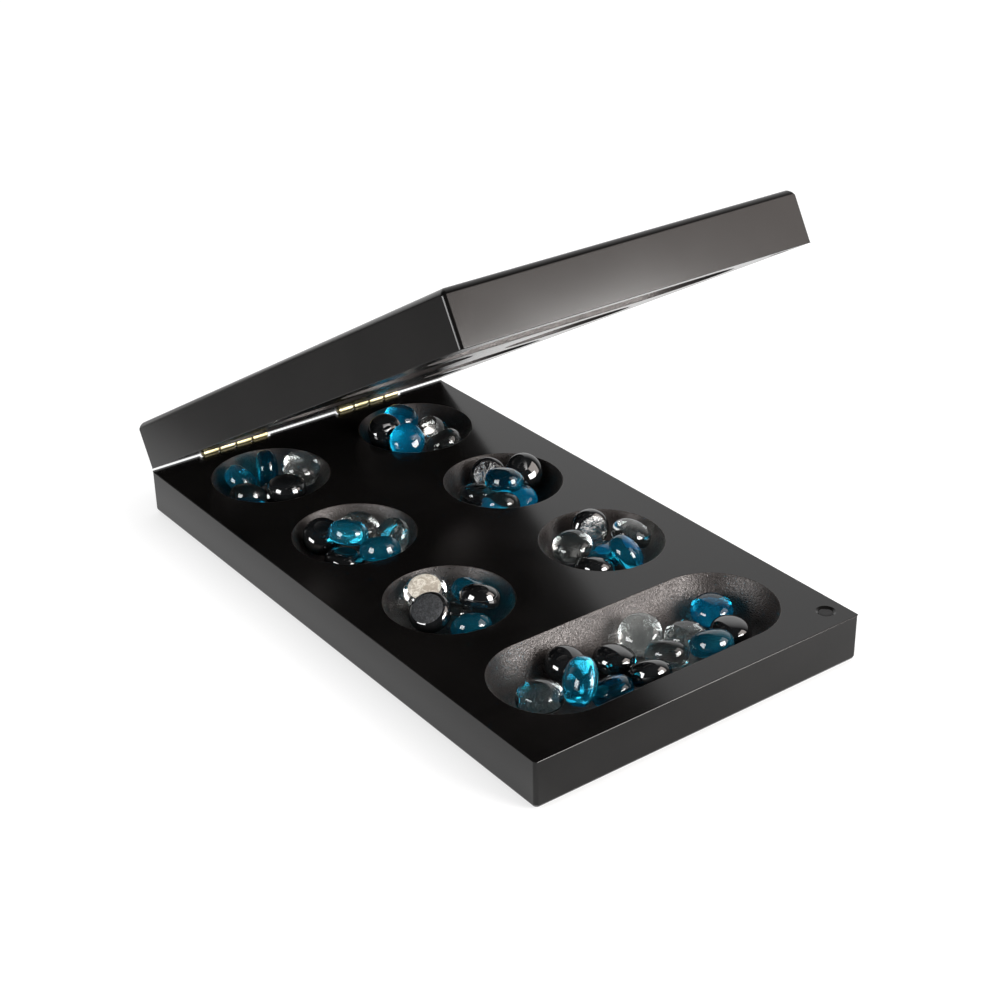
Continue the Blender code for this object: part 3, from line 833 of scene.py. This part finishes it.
def glass_material(name, thin, thick, clear):
    """Clear or tinted pressed glass: a slow drift of tint, faint waves from cooling, and a few seeds."""
    material, nodes, links = new_material(name)
    shader = nodes["Principled BSDF"]
    place = nodes.new("ShaderNodeTexCoord").outputs["Object"]
    drift = noise(nodes, links, place, TINT_SCALE, detail=1.5)
    tone = ranged(nodes, links, drift, *TINT_RANGE, 0.0, 1.0)
    links.new(two_tone(nodes, links, tone, thin, thick), shader.inputs["Base Color"])
    links.new(ranged(nodes, links, drift, *DRIFT_RANGE, *GLASS_ROUGHNESS), shader.inputs["Roughness"])
    shader.inputs["Transmission Weight"].default_value = clear
    shader.inputs["IOR"].default_value = GLASS_INDEX
    let_light_through(nodes, links, shader, [SHADOW_LIGHT * part ** 0.5 for part in thin])
    waves = noise(nodes, links, place, WAVE_SCALE, detail=1.0)
    seeds = nodes.new("ShaderNodeTexVoronoi")
    seeds.inputs["Scale"].default_value = SEED_SCALE
    links.new(place, seeds.inputs["Vector"])
    seed = ranged(nodes, links, seeds.outputs["Distance"], *SEED_EDGE, SEED_RISE, 0.0)
    bumped(nodes, links, shader, summed(nodes, links, waves, seed), WAVE_DEPTH)
    return material


GRAIN_SCALE = 2600.0
# How high in the relief the colour turns from the painted shade of the hollows to the painted highlight of
# the ridges.
RELIEF_SHADE_RANGE = (0.45, 0.62)


def foot_material(name, low, high, gloss, clear, depth, wrinkle_scale=520.0, grain=0.35, index=1.5):
    """The print of the plate, wrinkled and matt: low and high are the colours of its hollows and ridges,
    painted on as shade and highlight.
    """
    material, nodes, links = new_material(name)
    shader = nodes["Principled BSDF"]
    place = nodes.new("ShaderNodeTexCoord").outputs["Object"]
    wrinkles = noise(nodes, links, place, wrinkle_scale, detail=4.0, roughness=0.65, distortion=1.6)
    grains = noise(nodes, links, place, GRAIN_SCALE)
    both = summed(nodes, links, wrinkles, times(nodes, links, grains, grain))
    # The colour follows the height of the relief: painted shade in the hollows, a painted highlight on the
    # ridges.
    tone = ranged(nodes, links, both, *(edge + grain / 2 for edge in RELIEF_SHADE_RANGE), 0.0, 1.0)
    links.new(two_tone(nodes, links, tone, low, high), shader.inputs["Base Color"])
    links.new(ranged(nodes, links, wrinkles, *TINT_RANGE, *gloss), shader.inputs["Roughness"])
    shader.inputs["Transmission Weight"].default_value = clear
    shader.inputs["IOR"].default_value = index
    bumped(nodes, links, shader, both, depth)
    return material


BLACK_GLASS_TONES = ((0.003, 0.0033, 0.0036), (0.006, 0.0066, 0.0072))
BLACK_GLASS_INDEX = 2.0
BLACK_GLASS_ROUGHNESS = (0.01, 0.05)
BLACK_DRIFT_SCALE = 150.0
BLACK_WAVE_SCALE = 180.0
BLACK_WAVE_DEPTH = 0.00005


def black_glass_material():
    """Near-black glass with the silvery skin that such stones are given, so that it reflects more."""
    material, nodes, links = new_material("black_stone_glass")
    shader = nodes["Principled BSDF"]
    place = nodes.new("ShaderNodeTexCoord").outputs["Object"]
    drift = noise(nodes, links, place, BLACK_DRIFT_SCALE, distortion=0.5)
    tone = ranged(nodes, links, drift, *TINT_RANGE, 0.0, 1.0)
    links.new(two_tone(nodes, links, tone, *BLACK_GLASS_TONES), shader.inputs["Base Color"])
    links.new(ranged(nodes, links, drift, *DRIFT_RANGE, *BLACK_GLASS_ROUGHNESS), shader.inputs["Roughness"])
    shader.inputs["IOR"].default_value = BLACK_GLASS_INDEX
    waves = noise(nodes, links, place, BLACK_WAVE_SCALE, detail=1.5)
    bumped(nodes, links, shader, waves, BLACK_WAVE_DEPTH)
    return material


# Each colour's glass and the foot that goes with it; a foot's low and high are painted shade and highlight.
STONE_GLASS = {
    "teal": (
        glass_material("teal_stone_glass", thin=(0.01, 0.38, 0.58), thick=(0.003, 0.24, 0.42), clear=0.98),
        foot_material(
            "teal_stone_foot", low=(0.0, 0.4, 0.55), high=(0.02, 0.55, 0.72), gloss=(0.05, 0.16), clear=0.7,
            depth=0.00007,
        ),
    ),
    "pale_teal": (
        glass_material(
            "pale_teal_stone_glass", thin=(0.05, 0.67, 0.93), thick=(0.015, 0.49, 0.77), clear=0.97,
        ),
        foot_material(
            "pale_teal_stone_foot", low=(0.0, 0.47, 0.68), high=(0.02, 0.62, 0.84), gloss=(0.1, 0.25),
            clear=0.5, depth=0.00009,
        ),
    ),
    "clear": (
        glass_material(
            "clear_stone_glass", thin=(0.95, 0.98, 0.975), thick=(0.88, 0.95, 0.94), clear=0.998,
        ),
        foot_material(
            "clear_stone_foot", low=(0.9, 0.95, 0.94), high=(0.97, 0.98, 0.97), gloss=(0.0, 0.05),
            clear=0.985, depth=0.00006,
        ),
    ),
    "black": (
        black_glass_material(),
        foot_material(
            "black_stone_foot", low=(0.004, 0.0045, 0.005), high=(0.03, 0.032, 0.035), gloss=(0.06, 0.16),
            clear=0.0, depth=0.0005, wrinkle_scale=420.0, grain=0.1, index=2.4,
        ),
    ),
}

# Feet of single stones: one crusted with chalk, clear ones that wrinkled as they cooled, and two odd prints.
CRUSTED_FOOT = foot_material(
    "crusted_stone_foot", low=(0.55, 0.48, 0.39), high=(0.95, 0.9, 0.8), gloss=(0.3, 0.6), clear=0.15,
    depth=0.0003, wrinkle_scale=300.0, grain=0.5,
)
RIPPLED_FOOT = foot_material(
    "rippled_stone_foot", low=(0.86, 0.9, 0.89), high=(0.98, 0.99, 0.98), gloss=(0.0, 0.05), clear=0.92,
    depth=0.0004, wrinkle_scale=360.0, grain=0.15,
)
CYAN_FOOT = foot_material(
    "cyan_stone_foot", low=(0.0, 0.4, 0.52), high=(0.0, 0.52, 0.64), gloss=(0.3, 0.5), clear=0.1,
    depth=0.00015,
)
GRANULAR_FOOT = foot_material(
    "granular_stone_foot", low=(0.006, 0.0065, 0.008), high=(0.05, 0.054, 0.06), gloss=(0.5, 0.7), clear=0.0,
    depth=0.0006, wrinkle_scale=1100.0, grain=0.7,
)

# The teal stones that are of paler glass, and the single stones that have one of the feet above.
PALE_TEAL_STONES = (
    "back_left_teal_stone_2",
    "front_left_teal_stone_1",
    "front_left_teal_stone_2",
    "front_right_teal_stone_1",
    "front_right_teal_stone_2",
    "mid_left_teal_stone_1",
    "mid_left_teal_stone_2",
    "mid_right_teal_stone_1",
    "store_teal_stone_3",
    "store_teal_stone_4",
)
ODD_FEET = {
    "front_left_clear_stone_2": CRUSTED_FOOT,
    "store_clear_stone_1": RIPPLED_FOOT,
    "store_clear_stone_2": RIPPLED_FOOT,
    "store_clear_stone_3": RIPPLED_FOOT,
    "store_clear_stone_4": RIPPLED_FOOT,
    "front_left_teal_stone_1": CYAN_FOOT,
    "front_left_teal_stone_2": CYAN_FOOT,
    "front_left_black_stone_1": GRANULAR_FOOT,
}

drop = make_drop()
drop.data.materials.append(STONE_GLASS["clear"][0])
drop.data.materials.append(STONE_GLASS["clear"][1])
pick(drop, "FACE", lambda f: f.calc_center_median().z < FOOT_PRINT_TOP)
bpy.context.object.active_material_index = 1
bpy.ops.object.material_slot_assign()
leave()
select_only(drop)
bpy.ops.object.shade_smooth()

for number, node in enumerate(sorted(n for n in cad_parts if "_stone_" in n)):
    # The solid's own points give the stone's foot, its axis and its size.
    points = np.array(sorted({tuple(v.co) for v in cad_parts[node].data.vertices}))
    middle = points.mean(axis=0)
    away = points - middle
    axis = np.linalg.svd(away, full_matrices=False)[2][2]
    along = away @ axis
    beside = np.linalg.norm(away - np.outer(along, axis), axis=1)
    if along[beside.argmin()] < 0:
        axis, along = -axis, -along
    foot = middle + axis * along.min()
    radius, rise = beside.max(), along.max() - along.min()
    dish, colour = node.split("_stone_")[0].rsplit("_", 1)
    stone = copied(drop, node.replace("_stone_", "_drop_"), (0, 0, 0))
    narrowed = 1 - OUT_OF_ROUND * (number % 3) / 2
    grow = Matrix.Diagonal((radius, radius * narrowed, rise / STONE_RISE, 1))
    lean = Vector(axis).to_track_quat("Z", "Y").to_matrix().to_4x4()
    shrink = Matrix.Translation((0, 0, rise * (1 - STONE_CLEAR) / 2)) @ Matrix.Scale(STONE_CLEAR, 4)
    turn = Matrix.Rotation(number * TURN_STEP, 4, "Z")
    stone.data.transform(Matrix.Translation(foot) @ lean @ shrink @ turn @ grow)
    glass, usual_foot = STONE_GLASS["pale_teal" if node in PALE_TEAL_STONES else colour]
    stone.data.materials[0] = glass
    stone.data.materials[1] = ODD_FEET.get(node, usual_foot)
    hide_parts(node)
    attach(stone, dish + "_stones")
bpy.data.objects.remove(drop)

# ---------------------------------------------------------------------------------------------------------
# Studio. A white floor that keeps only the soft shadow, two square softboxes, a wide dim panel at the front
# right, and a surround that is white where the camera sees it and mostly dark where the lacquer reflects it.
# The camera stands where the photograph was taken from.
# ---------------------------------------------------------------------------------------------------------

FLOOR_GREY = (0.3, 0.3, 0.3, 1)
FLOOR_ROUGHNESS = 0.6

# What the floor shows in the lacquer, from left to right: dark far out, bright beside the board, dimmer under
# it and bright again far out. Each row adds a change: from where, to where, and from what to what.
FLOOR_REFLECTION = ((-0.107, -0.068, 0.04, 0.78), (-0.068, -0.05, 0.0, -0.42), (0.0, 0.12, 0.0, 0.5))
FLOOR_THROUGH_GLASS = 0.6

# What the camera sees of the floor: darker close under the board, and wholly white far away.
CONTACT_REACH = 0.024
CONTACT_SHADE = (0.45, 1.0, 0.67, 0.9)
FAR_FLOOR = (0.3, 1.0, 0.0, 0.1)

select_none()
bpy.ops.mesh.primitive_plane_add(size=8, location=(0, 0, 0))
floor = name_it("studio_floor")
material, nodes, links = new_material("white_floor")
shader = nodes["Principled BSDF"]
shader.inputs["Base Color"].default_value = FLOOR_GREY
shader.inputs["Roughness"].default_value = FLOOR_ROUGHNESS
shader.inputs["Specular IOR Level"].default_value = 0.0
shader.inputs["Emission Color"].default_value = (1, 1, 1, 1)
ray = nodes.new("ShaderNodeLightPath").outputs
spot = nodes.new("ShaderNodeTexCoord").outputs["Object"]

across = nodes.new("ShaderNodeSeparateXYZ")
links.new(spot, across.inputs["Vector"])
bands = [ranged(nodes, links, across.outputs["X"], *band) for band in FLOOR_REFLECTION]
reflected = times(nodes, links, ray["Is Glossy Ray"], summed(nodes, links, *bands))

contact = nodes.new("ShaderNodeAmbientOcclusion")
contact.inputs["Distance"].default_value = CONTACT_REACH
away = nodes.new("ShaderNodeVectorMath")
away.operation = "LENGTH"
links.new(spot, away.inputs[0])
far = ranged(nodes, links, away.outputs["Value"], *FAR_FLOOR)
shaded = summed(nodes, links, ranged(nodes, links, contact.outputs["AO"], *CONTACT_SHADE), far)
seen = times(nodes, links, ray["Is Camera Ray"], shaded)

refracted = times(nodes, links, ray["Is Transmission Ray"], FLOOR_THROUGH_GLASS)
links.new(summed(nodes, links, seen, refracted, reflected), shader.inputs["Emission Strength"])
floor.data.materials.append(material)
floor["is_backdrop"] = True

# The surround is white to the camera and lends a weak fill light. Lacquer and glass see it dark, and brighter
# toward the back right.
BACK_RIGHT = (0.59, 0.81, 0)
SURROUND_RISE = (0.3, 0.8, 0.03, 1.0)
FILL = 0.1

world = bpy.data.worlds.new("pale_surround")
bpy.context.scene.world = world
world.use_nodes = True
nodes, links = world.node_tree.nodes, world.node_tree.links
ray = nodes.new("ShaderNodeLightPath").outputs
facing = nodes.new("ShaderNodeVectorMath")
facing.operation = "DOT_PRODUCT"
facing.inputs[1].default_value = BACK_RIGHT
links.new(nodes.new("ShaderNodeTexCoord").outputs["Generated"], facing.inputs[0])
risen = ranged(nodes, links, facing.outputs["Value"], *SURROUND_RISE)
mirrored = arithmetic(nodes, links, "MAXIMUM", ray["Is Glossy Ray"], ray["Is Transmission Ray"])
shown = times(nodes, links, mirrored, risen)
fill = times(nodes, links, arithmetic(nodes, links, "SUBTRACT", 1.0, mirrored), FILL)
strength = arithmetic(nodes, links, "MAXIMUM", ray["Is Camera Ray"], summed(nodes, links, shown, fill))
background = nodes["Background"]
background.inputs["Color"].default_value = (1, 1, 1, 1)
links.new(strength, background.inputs["Strength"])

LOOK_AT = Vector((0, -0.01, 0.03))


def add_softbox(name, toward, away, size, watts, colour=(1, 1, 1)):
    """A flat lamp that stands some way off in a direction from the board and faces it."""
    lamp = bpy.data.lights.new(name, "AREA")
    lamp.shape = "RECTANGLE"
    lamp.size, lamp.size_y = size
    lamp.energy = watts
    lamp.color = colour
    thing = bpy.data.objects.new(name, lamp)
    bpy.context.scene.collection.objects.link(thing)
    direction = Vector(toward).normalized()
    thing.location = LOOK_AT + direction * away
    thing.rotation_euler = direction.to_track_quat("Z", "Y").to_euler()


add_softbox(
    "right_softbox", toward=(0.378, -0.891, 0.255), away=0.8, size=(0.41, 0.44), watts=11.4,
    colour=(1.0, 0.985, 0.97),
)
add_softbox("left_softbox", toward=(-0.955, -0.03, 0.295), away=0.95, size=(0.49, 0.49), watts=9.0)
add_softbox(
    "front_panel", toward=(0.59, -0.64, 0.5), away=1.3, size=(0.85, 0.9), watts=6.1, colour=(1.0, 0.9, 0.85),
)

CAMERA_PLACE = (-0.31936, -0.44707, 0.32193)
CAMERA_TURN = (62.03415, 0.85764, -36.72271)
camera = bpy.data.objects.new("camera", bpy.data.cameras.new("camera"))
bpy.context.scene.collection.objects.link(camera)
camera.location = CAMERA_PLACE
camera.rotation_euler = [math.radians(angle) for angle in CAMERA_TURN]
camera.data.sensor_width = 36
camera.data.lens = 68.693
camera.data.clip_start = 0.01
camera.data.clip_end = 20
bpy.context.scene.camera = camera

bpy.context.scene.view_settings.view_transform = "Standard"

low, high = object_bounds()
